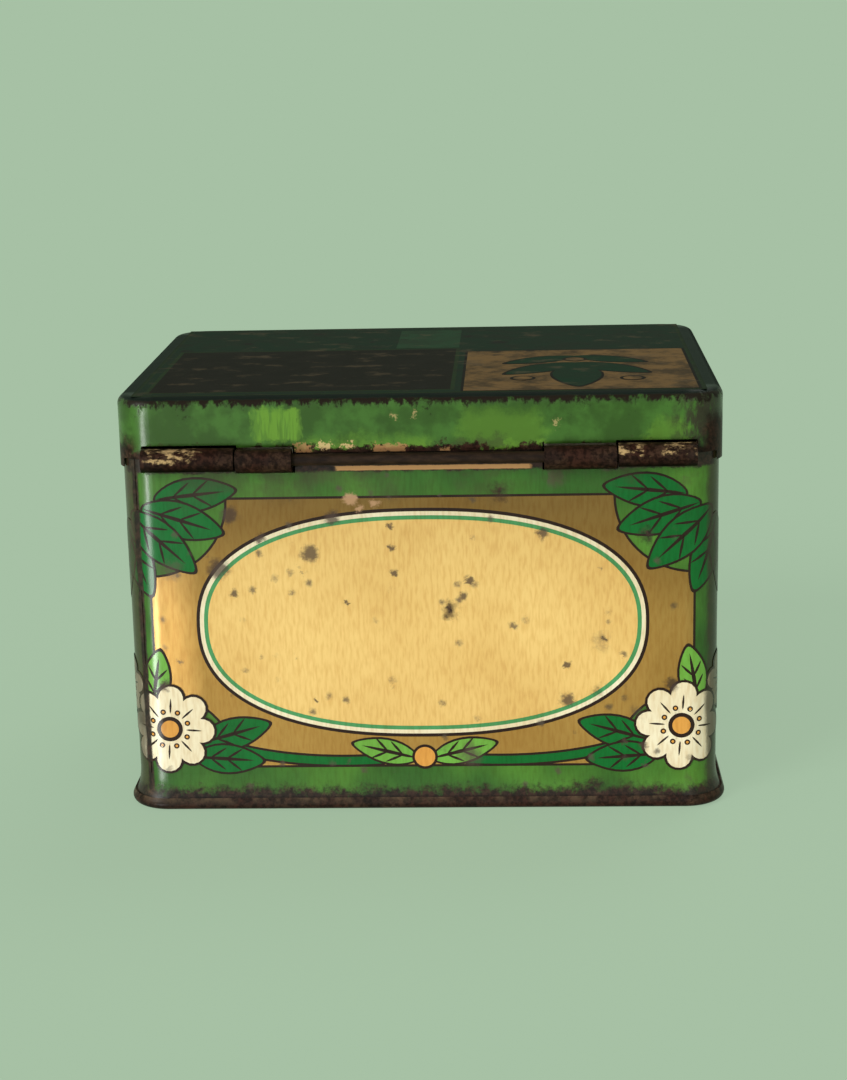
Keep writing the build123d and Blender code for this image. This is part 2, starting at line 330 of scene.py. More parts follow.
chipped_ends = any_of(
    body_finish, band(body_finish, x_ragged, 31.6 * MM, 38.0 * MM, 1.2 * MM),
    band(body_finish, x_ragged, -31.8 * MM, -27.4 * MM, 0.8 * MM),
    band(body_finish, x_ragged, -38.6 * MM, -35.0 * MM, 1.2 * MM))
chip_grain = rise(body_finish, mottle(body_finish, 0.9 * MM, 5, 0.75, (2.2, 1, 1)), 0.49, 0.62)
roll_chips_and_highlight = both(body_finish, roll_top, chipped_ends, chip_grain)
# Painted shade: the rolls are darker towards their undersides.
roll_underside_shade = rise(body_finish, height_up, 53.0 * MM, 51.6 * MM)
roll = over(body_finish, roll_underside_shade, brown_rust(body_finish), ROLL_SHADE, "MULTIPLY")
roll = over(body_finish, both(body_finish, roll_chips_and_highlight, 0.68), roll, CREAM_CHIP)
off_wall = rise(body_finish, outside, 0.04 * MM, 0.10 * MM)
rolls = both(body_finish, off_wall, rise(body_finish, height_up, 50 * MM, 50.4 * MM))
stains = mottle(body_finish, 3 * MM, 5, 0.7)
bare_tin = over(body_finish, rise(body_finish, stains, 0.45, 0.7), TIN_BARE, TIN_STAIN)
printed = rise(body_finish, outside, -0.18 * MM, -0.12 * MM)
colour = over(body_finish, printed, bare_tin, over(body_finish, rolls, ground, roll))
inside = reckon(body_finish, "SUBTRACT", 1.0, printed)
off_rolls = reckon(body_finish, "SUBTRACT", 1.0, both(body_finish, rolls, 0.75))
shine = both(body_finish, print_shine(body_finish), off_rolls)
finish_off(body_finish, colour, dull, relief, metal=both(body_finish, inside, TIN_METAL), shine=shine)
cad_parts["body"].data.materials.clear()
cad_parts["body"].data.materials.append(body_finish)


# Body print: inks laid on the flat sheet before it was bent, in films of about a hundredth of a millimetre.
# Each face has its own bronze panel, label and sprays, and every shape is edged with a brown key line.
KEY_LINE = 0.36 * MM
FILM = 0.008 * MM
FIRST_FILM = 0.016 * MM
FLAT_X = WALL_HALF_X - WALL_CORNER
FLAT_Y = WALL_HALF_Y - WALL_CORNER
BEND = WALL_CORNER * math.pi / 2
END_MIDDLE = FLAT_X + BEND + FLAT_Y
FRONT_MIDDLE = 2 * END_MIDDLE
BEND_STEPS = 24


def ink_finish(name, ink_shade, rough=PRINT_ROUGH, metal=0.0, top_shade=0.95):
    """One ink of the body's print, aged as the ground beside it is, and painted a little darker towards its top as
    shade, much darker on the bronze as a dark reflection.
    """
    finish = new_finish(name)
    _, _, z = axes(finish)
    top_shaded_ink = over(finish, rise(finish, z, 24 * MM, 48 * MM), ink_shade, [top_shade * value for value in ink_shade])
    colour, dull, relief, sheen = aged_print(finish, top_shaded_ink, rough, metal)
    finish_off(finish, colour, dull, relief, metal=sheen, shine=print_shine(finish))
    return finish


key_ink = ink_finish("key line ink", (36, 16, 8))
bronze_ink = ink_finish("bronze ink", (170, 132, 68), 0.2, metal=0.4, top_shade=0.72)
cream_ink = ink_finish("cream ink", (221, 184, 112), 0.34)
white_ink = ink_finish("white ink", (226, 214, 184), 0.32)
leaf_ink = ink_finish("leaf ink", (0, 98, 36))
border_ink = ink_finish("border ink", (70, 142, 88))
pale_ink = ink_finish("pale green ink", (104, 164, 64))
gold_ink = ink_finish("gold ink", (206, 146, 66))


def flat_round(name, sides, reshape):
    """A filled circle of one metre radius, drawn in X and Z and pulled to shape point by point."""
    bpy.ops.mesh.primitive_circle_add(vertices=sides, radius=1, fill_type="NGON", rotation=(math.radians(90), 0, 0))
    bpy.ops.object.transform_apply(location=False, rotation=True, scale=False)
    figure = bpy.context.object
    figure.name = name
    for point in figure.data.vertices:
        point.co.x, point.co.z = reshape(point.co.x, point.co.z)
    figure.select_set(False)
    return figure


def pointed(x, z):
    """From a stalk at the origin to a tip at one, widest before the middle."""
    along = (x + 1) / 2
    return along, z * 0.5 * (1 - abs(x) ** 2.2 * 0.35) * (1.1 - 0.3 * along)


def spoon(x, z):
    """A petal: narrow at the origin and broad and blunt near one."""
    along = (x + 1) / 2
    return along, z * (0.22 + 0.40 * along)


def squarish(x, z, power=2.35):
    """A circle pulled a little towards a rectangle."""
    reach = (abs(x) ** power + abs(z) ** power) ** (-1 / power)
    return x * reach, z * reach


disc = flat_round("disc", 48, lambda x, z: (x, z))
leaf = flat_round("leaf", 28, pointed)
vein = flat_round("vein", 8, pointed)
petal = flat_round("petal", 22, spoon)
oval = flat_round("oval", 120, squarish)
figures = [disc, leaf, vein, petal, oval]


def cut_figure(name, points):
    """A filled figure with this outline, in metres."""
    mesh = bpy.data.meshes.new(name)
    mesh.from_pydata([(x, 0, z) for x, z in points], [], [range(len(points))])
    figure = bpy.data.objects.new(name, mesh)
    bpy.context.scene.collection.objects.link(figure)
    figures.append(figure)
    return figure


def scooped(name, half_x, half_z, scoop, grow=0.0):
    """A label with a quarter circle scooped out of each corner, grown all round for its key line."""
    corner = [(half_x + grow, half_z - scoop + grow)]
    for step in range(17):
        angle = math.radians(270 - 90 * step / 16)
        reach = scoop - grow
        corner.append((half_x + reach * math.cos(angle), half_z + reach * math.sin(angle)))
    corner.append((half_x - scoop + grow, half_z + grow))
    top = corner + [(-x, z) for x, z in reversed(corner)]
    return cut_figure(name, top + [(-x, -z) for x, z in top])


def stamp(sheet, figure, ink, layer, at=(0, 0), size=(1000, 1000), turn=0.0):
    """Lays a copy of a figure on a flat sheet, at a place round the tin and a height, both in millimetres."""
    copy = bpy.data.objects.new(figure.name, figure.data.copy())
    bpy.context.scene.collection.objects.link(copy)
    copy.data.materials.append(ink)
    grow = Matrix.Diagonal((size[0] * MM, 1, size[1] * MM, 1))
    spin = Matrix.Rotation(-math.radians(turn), 4, "Y")
    put = Matrix.Translation((at[0] * MM, layer * FILM, at[1] * MM))
    copy.data.transform(put @ spin @ grow)
    sheet.append(copy)


def stamp_rings(sheet, figure, layer, at, size, rings):
    """A figure inside its border lines: each ring has an ink and how far it reaches past the figure's own size."""
    for step, (ink, grow) in enumerate(rings):
        stamp(sheet, figure, ink, layer + step, at, (size[0] + grow, size[1] + grow))


def onward(at, turn, run):
    """The place this far along a turned direction."""
    return at[0] + run * math.cos(math.radians(turn)), at[1] + run * math.sin(math.radians(turn))


def stamp_leaf(sheet, at, turn, length, width, layer, ink=leaf_ink):
    """A pointed leaf from its stalk, with its key line, a midrib and two pairs of side veins."""
    line = KEY_LINE / MM
    stamp(sheet, leaf, key_ink, layer, onward(at, turn, -line), (length + 2.4 * line, width + 2 * line), turn)
    stamp(sheet, leaf, ink, layer + 1, at, (length, width), turn)
    stamp(sheet, vein, key_ink, layer + 2, at, (length * 0.88, 0.62), turn)
    for along in (0.22, 0.46):
        for side in (1, -1):
            start = onward(at, turn, along * length)
            stamp(sheet, vein, key_ink, layer + 2, start, (length * 0.30, 0.42), turn + side * 36)


def stamp_daisy(sheet, at, radius, petals, turn, layer):
    """A plain daisy: a ring of blunt petals round a gold eye with a ring of dots."""
    line = KEY_LINE / MM
    broad = 2 * radius * math.sin(math.pi / petals) * 0.80
    ways = [turn + 360 * step / petals for step in range(petals)]
    for way in ways:
        stamp(sheet, petal, key_ink, layer, at, (radius + line, broad + 2 * line), way)
    for way in ways:
        stamp(sheet, petal, white_ink, layer + 1, at, (radius, broad), way)
        stamp(sheet, vein, key_ink, layer + 2, onward(at, way, radius * 0.36), (radius * 0.36, 0.34), way)
        dot = onward(at, way + 180 / petals, radius * 0.42)
        stamp(sheet, disc, key_ink, layer + 2, dot, (0.42, 0.42))
        stamp(sheet, disc, gold_ink, layer + 3, dot, (0.20, 0.20))
    stamp(sheet, disc, key_ink, layer + 2, at, (radius * 0.29, radius * 0.29))
    stamp(sheet, disc, gold_ink, layer + 3, at, (radius * 0.20, radius * 0.20))


def stamp_stem(sheet, start, bend, end, width, ink, layer):
    """A stem along a curve from start to end, pulled towards the bend, with its key line."""
    for step, (made_of, half) in enumerate([(key_ink, width / 2 + KEY_LINE / MM), (ink, width / 2)]):
        left, right = [], []
        for count in range(25):
            t = count / 24
            x, z = [(1 - t) ** 2 * a + 2 * t * (1 - t) * b + t ** 2 * c for a, b, c in zip(start, bend, end)]
            run = [2 * (1 - t) * (b - a) + 2 * t * (c - b) for a, b, c in zip(start, bend, end)]
            long = math.hypot(*run)
            left.append(((x - run[1] / long * half) * MM, (z + run[0] / long * half) * MM))
            right.append(((x + run[1] / long * half) * MM, (z - run[0] / long * half) * MM))
        stamp(sheet, cut_figure("stem", left + right[::-1]), made_of, layer + step)


def on_wall(run, height, lift):
    """The point this far round the body's outer face from the middle of its back, lifted off the wall."""
    if run > FRONT_MIDDLE:
        run -= 2 * FRONT_MIDDLE
    side = 1 if run >= 0 else -1
    left = abs(run)
    if left <= FLAT_X:
        x, y = left, WALL_HALF_Y + lift
    elif left <= FLAT_X + BEND:
        angle = (left - FLAT_X) / WALL_CORNER
        x = FLAT_X + (WALL_CORNER + lift) * math.sin(angle)
        y = FLAT_Y + (WALL_CORNER + lift) * math.cos(angle)
    elif left <= FRONT_MIDDLE - FLAT_X - BEND:
        x, y = WALL_HALF_X + lift, END_MIDDLE - left
    elif left <= FRONT_MIDDLE - FLAT_X:
        angle = (left - FRONT_MIDDLE + FLAT_X + BEND) / WALL_CORNER
        x = FLAT_X + (WALL_CORNER + lift) * math.cos(angle)
        y = -FLAT_Y - (WALL_CORNER + lift) * math.sin(angle)
    else:
        x, y = FRONT_MIDDLE - left, -WALL_HALF_Y - lift
    return Vector((side * x, y + WALL_CENTRE_Y, height))


def join_sheet(sheet, name):
    """Joins all the figures on a sheet into one piece, with their faces turned to the outside."""
    bpy.ops.object.select_all(action="DESELECT")
    for copy in sheet:
        copy.select_set(True)
    bpy.context.view_layer.objects.active = sheet[0]
    bpy.ops.object.join()
    piece = sheet[0]
    piece.name = name
    for face in piece.data.polygons:
        if face.normal.y < 0:
            face.flip()
    return piece


def thicken(piece):
    """Gives the ink its thickness, down towards the sheet."""
    film = piece.modifiers.new("film", "SOLIDIFY")
    film.thickness = FILM * 0.7
    film.offset = -1
    bpy.ops.object.modifier_apply(modifier=film.name)
    bpy.ops.object.shade_smooth_by_angle(angle=math.radians(20))
    piece.select_set(False)


def body_print(sheet, name):
    """Joins a sheet, cuts it in strips at the corners, lays it on the body's wall and makes it a finished print."""
    piece = join_sheet(sheet, name)
    bpy.ops.object.mode_set(mode="EDIT")
    bends = (FLAT_X, FRONT_MIDDLE - FLAT_X - BEND)
    cuts = [start + BEND * step / BEND_STEPS for start in bends for step in range(BEND_STEPS + 1)]
    low = min(point.co.x for point in piece.data.vertices)
    high = max(point.co.x for point in piece.data.vertices)
    for cut in [*cuts, *[-cut for cut in cuts], *[2 * FRONT_MIDDLE - cut for cut in cuts]]:
        if low < cut < high:
            bpy.ops.mesh.select_all(action="SELECT")
            bpy.ops.mesh.bisect(plane_co=(cut, 0, 0), plane_no=(1, 0, 0))
    bpy.ops.object.mode_set(mode="OBJECT")
    for point in piece.data.vertices:
        point.co = on_wall(point.co.x, point.co.z, point.co.y + FIRST_FILM)
    thicken(piece)
    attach(piece, "case")


# Back print: a bronze panel with scooped corners, and on it a plain cream oval with two border lines.
# Laurel sprays fill the upper corners and daisies the lower ones, round onto the ends.
LABEL_RINGS = [(key_ink, 1.70), (white_ink, 1.20), (border_ink, 0.60), (cream_ink, 0.0)]
PANEL = (39.2 * MM, 20.2 * MM, 11.5 * MM)
PANEL_MIDDLE = (0, 26.8)

back_sheet = []
stamp(back_sheet, scooped("panel line", *PANEL, KEY_LINE), key_ink, 0, PANEL_MIDDLE)
stamp(back_sheet, scooped("panel", *PANEL), bronze_ink, 1, PANEL_MIDDLE)
stamp_rings(back_sheet, oval, 2, (0, 28.2), (31.2, 15.6), LABEL_RINGS)
for side in (1, -1):
    for count, (turn, length, width, run, height) in enumerate([
        (174, 11.5, 4.8, 38.0, 47.2), (270, 10.5, 4.6, 45.0, 42.5), (198, 12.0, 5.2, 40.0, 45.8),
        (248, 11.5, 5.0, 43.6, 43.6), (223, 12.5, 5.4, 42.0, 45.0),
    ]):
        way = turn if side > 0 else 180 - turn
        stamp_leaf(back_sheet, (side * run, height), way, length, width, 2 + 2 * count)
    stamp_stem(back_sheet, (side * 6, 7.4), (side * 22, 6.4), (side * 33, 11), 1.2, leaf_ink, 2)
    for count, (turn, length, width, run, height) in enumerate([
        (164, 10.5, 4.6, 33.0, 10.2), (184, 10.0, 4.4, 34.0, 8.0),
        (100, 8.5, 4.2, 40.0, 16.0), (62, 8.0, 4.0, 44.0, 15.5),
    ]):
        way = turn if side > 0 else 180 - turn
        ink = pale_ink if count > 1 else leaf_ink
        stamp_leaf(back_sheet, (side * run, height), way, length, width, 4 + 2 * count, ink)
    stamp_daisy(back_sheet, (side * 46.2, 18.2), 4.6, 7, 12, 12)
    stamp_daisy(back_sheet, (side * 37.6, 12.4), 6.6, 8, 4, 14)
    stamp_leaf(back_sheet, (side * 1.2, 7.6), 90 - side * 76, 9.5, 3.6, 4, pale_ink)
stamp(back_sheet, disc, key_ink, 7, (0, 7.8), (1.9, 1.9))
stamp(back_sheet, disc, gold_ink, 8, (0, 7.8), (1.5, 1.5))
body_print(back_sheet, "back_print")


# End prints: a bronze roundel with a daisy on dark green, and a pair of leaves above and below it.
# The two ends are alike, as they came off the same plate.
ROUNDEL_RINGS = [
    (key_ink, 3.9), (bronze_ink, 3.5), (key_ink, 0.95), (white_ink, 0.6), (key_ink, 0.1), (leaf_ink, -0.2)]

for side, name in ((1, "left_print"), (-1, "right_print")):
    end_sheet = []
    middle = (side * END_MIDDLE / MM, 27.0)
    stamp_rings(end_sheet, disc, 0, middle, (12.5, 12.5), ROUNDEL_RINGS)
    for up in (1, -1):
        for count, (turn, length) in enumerate([(32, 12.0), (148, 12.0), (90, 6.6)]):
            ink = pale_ink if count > 1 else leaf_ink
            stalk = (middle[0], middle[1] + up * 16.2)
            stamp_leaf(end_sheet, stalk, up * turn, length, 4.6, 2 * count, ink)
    stamp_daisy(end_sheet, middle, 9.0, 9, 10, 7)
    body_print(end_sheet, name)


# Front print: a bronze oval and on it a bare cream label with scooped corners and two border lines.
# Daisies stand at its upper corners and laurel below.
front_sheet = []
middle = FRONT_MIDDLE / MM
stamp_rings(front_sheet, oval, 0, (middle, 27.0), (36.5, 19.0), [(key_ink, 0.4), (bronze_ink, 0.0)])
for step, (ink, grow) in enumerate(LABEL_RINGS):
    stamp(front_sheet, scooped("label", 25 * MM, 11 * MM, 4.5 * MM, grow * MM), ink, 2 + step, (middle, 27.5))
for side in (1, -1):
    for count, (turn, length, width, run, height) in enumerate([
        (20, 9.5, 4.4, 33.0, 41.0), (320, 9.0, 4.2, 33.5, 38.0), (150, 9.5, 4.2, 27.0, 43.0),
        (196, 12.0, 5.0, 39.0, 12.5), (166, 12.5, 5.2, 38.0, 9.5), (228, 9.5, 4.4, 41.0, 14.0),
    ]):
        way = turn if side > 0 else 180 - turn
        ink = pale_ink if count in (2, 5) else leaf_ink
        stamp_leaf(front_sheet, (middle + side * run, height), way, length, width, 2 + 2 * count, ink)
    stamp_daisy(front_sheet, (middle + side * 31.0, 41.0), 6.4, 8, 0, 14)
    stamp_daisy(front_sheet, (middle + side * 37.6, 34.0), 4.2, 7, 12, 12)
body_print(front_sheet, "front_print")


# Base: a shallow tray of the same sheet, rolled over the flared foot of the body.
# Outside its varnish has gone dark brown with handling, and is rubbed paler along the roll. Inside it is bare.
RUBBED_BROWN = (96, 78, 58)
BASE_SHINE = 0.12

base_finish = new_finish("base brown varnish, worn")
_, _, height_up = axes(base_finish)
stain = mottle(base_finish, 1.5 * MM, 5, 0.7)
blotches = mottle(base_finish, 3 * MM, 5, 0.7)
rubbed = both(base_finish, rise(base_finish, height_up, 0.6 * MM, 2.0 * MM), rise(base_finish, blotches, 0.42, 0.66))
colour = over(base_finish, both(base_finish, rubbed, 0.55), brown_rust(base_finish), RUBBED_BROWN)
facing = node(base_finish, "SeparateXYZ", {"Vector": node(base_finish, "NewGeometry").outputs["Normal"]})
outside = outside_of(base_finish, WALL_HALF_X, WALL_HALF_Y, WALL_CORNER)
faces_up = rise(base_finish, facing.outputs["Z"], 0.2, 0.4)
in_tin = both(base_finish, faces_up, rise(base_finish, outside, -0.2 * MM, -0.3 * MM))
bare_tin = over(base_finish, rise(base_finish, blotches, 0.45, 0.7), TIN_BARE, TIN_STAIN)
colour = over(base_finish, in_tin, colour, bare_tin)
finish_off(base_finish, colour, 0.40, stain, metal=both(base_finish, in_tin, TIN_METAL), shine=BASE_SHINE)
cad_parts["base_panel"].data.materials.clear()
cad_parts["base_panel"].data.materials.append(base_finish)


# Hinge wire: one length of rusty iron wire, held in the rolls of body and lid.
# Its rust is painted very dark, as shade in the gap between lid and body.
WIRE_SHADED_DARK = (24, 15, 11)
WIRE_SHADED_PALE = (46, 32, 22)
WIRE_SHINE = 0.08

wire_finish = new_finish("wire brown rust, shaded")
rust = mottle(wire_finish, 0.8 * MM, 5, 0.7, stretch=(3, 1, 1))
shaded_rust_colour = over(wire_finish, rise(wire_finish, rust, 0.3, 0.7), WIRE_SHADED_DARK, WIRE_SHADED_PALE)
finish_off(wire_finish, shaded_rust_colour, 0.55, rust, shine=WIRE_SHINE)
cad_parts["hinge_wire"].data.materials.clear()
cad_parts["hinge_wire"].data.materials.append(wire_finish)


# Lid: one drawn sheet, printed green round the skirt and dark on top, painted nearly black there as shade, with two
# lugs rolled on the wire.
# The print is rubbed bright along the skirt, and has gone brown along the top edge and on the lugs.
SKIRT_GREEN = (42, 72, 20)
SKIRT_LEAF = (56, 94, 32)
SKIRT_BRIGHT = (88, 128, 36)
SKIRT_OLIVE = (43, 41, 25)
TOP_SHADED_DARK = (16, 22, 18)
TOP_SHADED_PALE = (23, 31, 25)
EDGE_BROWN = (28, 21, 14)
RUBBED_TAN = (160, 118, 76)
LID_TOP = 62.0 * MM
LID_EDGE = 1.4 * MM
LID_REACH = 0.45 * MM


def zone(finish, across, up, wide, high, soft=0.8 * MM):
    """A soft-edged block of the skirt, between two places across and two heights, all in millimetres."""
    spread = band(finish, across, wide[0] * MM, wide[1] * MM, soft)
    return both(finish, spread, band(finish, up, high[0] * MM, high[1] * MM, soft))


def skirt_colour(finish):
    """The lid's green round the skirt, rubbed and stained as it is along the hinge, and freely elsewhere, with painted
    shade towards the -X end.
    """
    x, y, z = axes(finish)
    x_loose = shaken(finish, x, 6 * MM, 4 * MM)
    z_loose = shaken(finish, z, 3 * MM, 3 * MM)
    on_back = rise(finish, y, 26 * MM, 30 * MM)
    clouds = rise(finish, mottle(finish, 6 * MM, 4, shift=(0.004, 0, 0)), 0.42, 0.62)
    colour = over(finish, clouds, SKIRT_GREEN, SKIRT_LEAF)
    low = rise(finish, z_loose, 57.2 * MM, 53.5 * MM)
    streaks = rise(finish, mottle(finish, 0.9 * MM, 3, 0.5, stretch=(1, 1, 7)), 0.36, 0.56)
    patch_x = shaken(finish, x, 2 * MM, 1.1 * MM, (1, 1, 3))
    patch_z = shaken(finish, z, 1.6 * MM, 1.2 * MM)
    patch = zone(finish, patch_x, patch_z, (16.6, 23.4), (55.5, 60.2), 0.9 * MM)
    middle_zone = zone(finish, x_loose, z_loose, (-1.7, 17.3), (50, 60), 2.5 * MM)
    right_zone = zone(finish, x_loose, z_loose, (-17.6, -6.4), (50, 59.4), 3 * MM)
    end_zone = zone(finish, x_loose, z_loose, (-38.6, -32.0), (54.6, 58.2), 2 * MM)
    bright = any_of(
        finish, both(finish, patch, reckon(finish, "MAXIMUM", streaks, 0.55)), both(finish, middle_zone, low),
        both(finish, right_zone, reckon(finish, "MAXIMUM", low, 0.45)), both(finish, end_zone, 0.45))
    off_back = reckon(finish, "SUBTRACT", 1.0, on_back)
    elsewhere = both(finish, off_back, rise(finish, mottle(finish, 13 * MM, 3), 0.45, 0.72), 0.6)
    colour = over(finish, any_of(finish, both(finish, on_back, bright), elsewhere), colour, SKIRT_BRIGHT)
    # An olive patch low on the back, and painted shade in streaky olive towards the -X end, the end turned from the
    # light.
    olive_patch = zone(finish, x_loose, z_loose, (-12.5, -5.5), (53.6, 55.6), 1.2 * MM)
    right_end_shade = rise(finish, x_loose, -34.0 * MM, -40.0 * MM)
    right_end_shade_grain = rise(finish, mottle(finish, 1.6 * MM, 4, 0.7, (1, 1, 2.5)), 0.32, 0.52)
    olive_patch_and_shade = any_of(finish, both(finish, on_back, olive_patch, 0.6), both(finish, on_back, right_end_shade, right_end_shade_grain))
    return over(finish, olive_patch_and_shade, colour, SKIRT_OLIVE)


def skirt_wear(finish):
    """Brown that hangs in tongues from the top edge, creeps up from the lower edge and covers the lugs."""
    x, y, z = axes(finish)
    tongues = rise(finish, shaken(finish, z, 2.6 * MM, 1.3 * MM, (1, 1, 1.8)), 60.5 * MM, 61.3 * MM)
    blob = rise(finish, mottle(finish, 3.2 * MM, 5, 0.7, shift=(0.011, 0, 0.002)), 0.60, 0.68)
    tongues = any_of(finish, tongues, both(finish, blob, rise(finish, z, 57.5 * MM, 60.0 * MM), 0.85))
    round_lugs = both(finish, rise(finish, y, 29 * MM, 30 * MM), any_of(
        finish, band(finish, x, 15.5 * MM, 44 * MM, 4 * MM), band(finish, x, -44 * MM, -16 * MM, 4 * MM)))
    edge = rise(finish, shaken(finish, z, 0.9 * MM, 1.2 * MM), 53.4 * MM, 52.2 * MM)
    fringe_z = rise(finish, shaken(finish, z, 2.8 * MM, 1.9 * MM), 55.0 * MM, 54.3 * MM)
    fringe = both(finish, rise(finish, y, 30.5 * MM, 31 * MM), fringe_z)
    edge_by_lugs = both(finish, round_lugs, rise(finish, shaken(finish, z, 1.2 * MM, 1.4 * MM), 54.9 * MM, 53.6 * MM))
    lugs = both(finish, rise(finish, y, 31.0 * MM, 31.2 * MM), rise(finish, z, 56.0 * MM, 55.0 * MM))
    far_x = reckon(finish, "ABSOLUTE", shaken(finish, x, 1.2 * MM, 2 * MM))
    past_corner = both(finish, rise(finish, far_x, 39.6 * MM, 41.4 * MM), rise(finish, y, 20 * MM, 26 * MM))
    leaning = reckon(finish, "ADD", shaken(finish, z, 3 * MM, 2 * MM), both(finish, x, 0.03))
    corners = both(finish, past_corner, rise(finish, leaning, 58.4 * MM, 55.8 * MM))
    chips = spots(finish, 6.0 * MM, 0.08, (0.031, 0.014, 0.003))
    return any_of(finish, tongues, edge, fringe, edge_by_lugs, lugs, corners, chips)


lid_finish = new_finish("lid green print, worn")
across, back, height_up = axes(lid_finish)
x_ragged = shaken(lid_finish, across, 2.4 * MM, 0.9 * MM)
z_ragged = shaken(lid_finish, height_up, 1.8 * MM, 0.7 * MM)
colour = skirt_colour(lid_finish)
bare_spots = any_of(lid_finish, *[zone(lid_finish, x_ragged, z_ragged, wide, high, 0.3 * MM) for wide, high in (
    ((12.3, 14.3), (54.4, 55.3)), ((8.9, 10.7), (54.6, 55.2)), ((-0.2, 0.7), (58.9, 59.7)),
    ((3.0, 3.6), (58.4, 59.2)), ((-20.1, -19.4), (57.0, 58.2)))])
tan_spots = any_of(lid_finish, *[zone(lid_finish, x_ragged, z_ragged, wide, high, 0.3 * MM) for wide, high in (
    ((1.6, 6.4), (53.9, 54.9)), ((15.0, 17.3), (53.9, 55.3)), ((-4.6, -2.8), (53.6, 54.4)))])
seen_from_back = rise(lid_finish, back, 29 * MM, 30 * MM)
worn = skirt_wear(lid_finish)
edge_brown = over(lid_finish, rise(lid_finish, height_up, 57 * MM, 59 * MM), brown_rust(lid_finish), EDGE_BROWN)
colour = over(lid_finish, worn, colour, edge_brown)
fresh_spots = reckon(lid_finish, "ADD", both(lid_finish, rise(lid_finish, height_up, 57.5 * MM, 55.5 * MM), 0.38), 0.42)
colour = over(lid_finish, both(lid_finish, bare_spots, seen_from_back, fresh_spots), colour, CREAM_CHIP)
colour = over(lid_finish, both(lid_finish, tan_spots, seen_from_back, 0.75), colour, RUBBED_TAN)
on_top = rise(lid_finish, shaken(lid_finish, height_up, 0.25 * MM, 1.2 * MM), 61.45 * MM, 61.7 * MM)
# Painted shade: the top's dark green is given nearly black, as shade on the top.
top = over(lid_finish, mottle(lid_finish, 8 * MM), TOP_SHADED_DARK, TOP_SHADED_PALE)
colour = over(lid_finish, on_top, colour, top)
past_side = outside_of(lid_finish, WALL_HALF_X + LID_REACH, WALL_HALF_Y + LID_REACH, WALL_CORNER + LID_REACH)
past_side = reckon(lid_finish, "ADD", past_side, LID_EDGE)
past_top = reckon(lid_finish, "SUBTRACT", height_up, LID_TOP - LID_EDGE)
round_side = reckon(lid_finish, "MAXIMUM", past_side, 0.0)
round_top = reckon(lid_finish, "MAXIMUM", past_top, 0.0)
square_side = reckon(lid_finish, "MULTIPLY", round_side, round_side)
square_top = reckon(lid_finish, "MULTIPLY", round_top, round_top)
bend = reckon(lid_finish, "SQRT", reckon(lid_finish, "ADD", square_side, square_top))
flat = reckon(lid_finish, "MINIMUM", reckon(lid_finish, "MAXIMUM", past_side, past_top), 0.0)
depth = reckon(lid_finish, "ADD", bend, flat)
within = rise(lid_finish, depth, LID_EDGE - 0.10 * MM, LID_EDGE - 0.18 * MM)
stains = mottle(lid_finish, 3 * MM, 5, 0.7)
colour = over(lid_finish, within, colour, over(lid_finish, rise(lid_finish, stains, 0.45, 0.7), TIN_BARE, TIN_STAIN))
relief = reckon(lid_finish, "SUBTRACT", both(lid_finish, mottle(lid_finish, 0.9 * MM, 3), 0.3), worn)
relief = reckon(lid_finish, "ADD", relief, both(lid_finish, mottle(lid_finish, 5 * MM, 2), 3.0))
dull = reckon(lid_finish, "ADD", both(lid_finish, any_of(lid_finish, worn, on_top), 0.16), 0.23)
dull = reckon(lid_finish, "ADD", dull, flat_faces(lid_finish))
dimmed = any_of(lid_finish, both(lid_finish, on_top, 0.9), both(lid_finish, worn, 0.7))
shine = both(lid_finish, print_shine(lid_finish), reckon(lid_finish, "SUBTRACT", 1.0, dimmed))
finish_off(lid_finish, colour, dull, relief, metal=both(lid_finish, within, TIN_METAL), shine=shine)
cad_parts["lid"].data.materials.clear()
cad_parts["lid"].data.materials.append(lid_finish)


# Lid print: two panels and a loose patch of colour on the dark top, their inks painted much darker as shade on the top,
# with grime mottled over them.
# The tan one carries a plain sprig, and the brown one is left bare inside a thin border.
TOP_GRIME = (34, 30, 26)
TOP_RUBBED = (78, 66, 50)
TOP_SPOT = (30, 26, 24)
TOP_ROUGH = 0.62
TOP_SHINE = 0.015


def top_ink(name, ink_shade, grime=0.5):
    """One ink of the lid's top, under a brown-black grime."""
    finish = new_finish(name)
    x, _, _ = axes(finish)
    dirt = rise(finish, mottle(finish, 4.5 * MM, 5, 0.7), 0.40, 0.66)
    colour = over(finish, both(finish, dirt, grime), ink_shade, TOP_GRIME)
    rubbed = rise(finish, mottle(finish, 3.4 * MM, 4, 0.65, (1.5, 1, 1), (0.003, 0.002, 0)), 0.55, 0.70)
    colour = over(finish, both(finish, rubbed, 0.45), colour, TOP_RUBBED)
    colour = over(finish, spots(finish, 5 * MM, 0.25, (0.004, 0.008, 0)), colour, TOP_SPOT)
    rim_x = rise(finish, reckon(finish, "ABSOLUTE", shaken(finish, x, 1.2 * MM, 2 * MM)), 40.0 * MM, 41.8 * MM)
    colour = over(finish, both(finish, rim_x, 0.7), colour, TOP_SHADED_DARK)
    finish_off(finish, colour, TOP_ROUGH, mottle(finish, 1.1 * MM, 3), shine=TOP_SHINE)
    return finish


